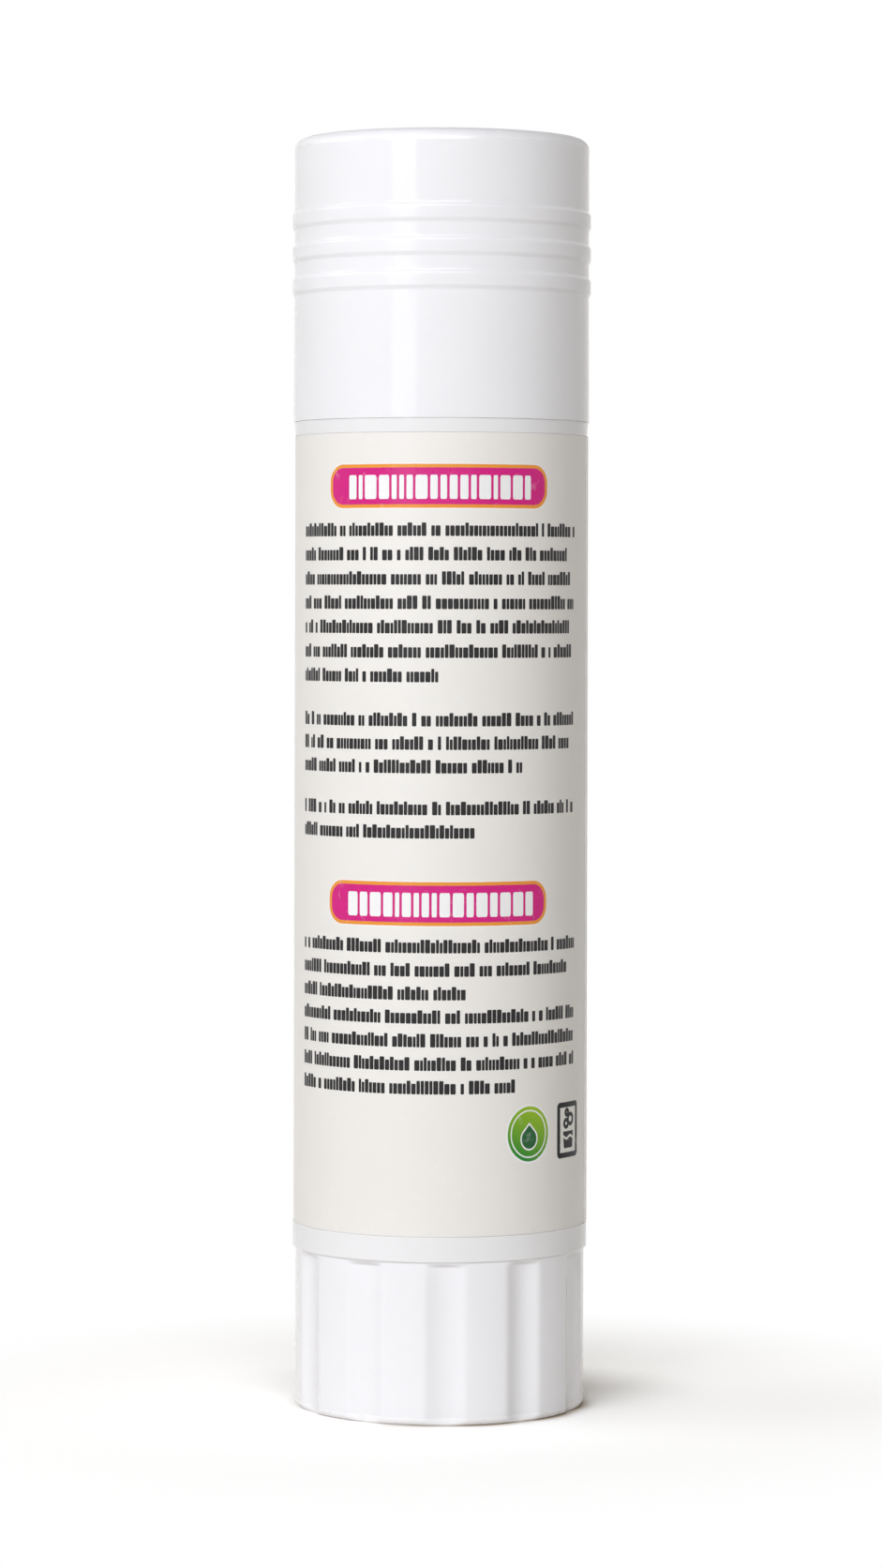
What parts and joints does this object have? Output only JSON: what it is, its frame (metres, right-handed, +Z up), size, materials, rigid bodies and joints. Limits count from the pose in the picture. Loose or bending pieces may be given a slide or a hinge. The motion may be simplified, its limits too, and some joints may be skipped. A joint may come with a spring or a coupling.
{
  "type": "stain remover stick",
  "caption": "Upright twist-up stick: a round capped barrel with grip rings, a wrapped label, a fluted turning base, and a lead screw that raises a bar of soap.",
  "frame": {"origin": "centre of the ring that the turning base rests on", "axes": "+Z up along the stick's axis, -Y towards the front of the label"},
  "size_m": [0.0306, 0.0306, 0.129],
  "materials": {
    "white_plastic": "gloss moulded white",
    "label_film": "printed satin film, warm white with magenta and orange bars",
    "inner_plastic": "natural moulded plastic",
    "soap": "waxy cream soap"
  },
  "bodies": {
    "barrel": {"barrel": "white_plastic", "label": "label_film"},
    "base": {"turning_base": "white_plastic", "spindle": "inner_plastic"},
    "carriage": {"elevator": "inner_plastic", "stain_stick": "soap"},
    "cap": {"cap": "white_plastic"}
  },
  "joints": [
    {"name": "stick_rise", "type": "slide", "parent": "barrel", "child": "carriage", "axis": [0, 0, 1], "range_m": [0, 0.08]},
    {"name": "base_turn", "type": "hinge", "parent": "barrel", "child": "base", "pos_m": [0, 0, 0.017], "axis": [0, 0, 1], "range_deg": [0, 5760]},
    {"name": "cap_pull", "type": "slide", "parent": "carriage", "child": "cap", "axis": [0, 0, 1], "range_m": [0, 0.03]}
  ],
  "couplings": [
    {"joint": "base_turn", "follows": "stick_rise", "rad_per_m": 1256.6}
  ]
}
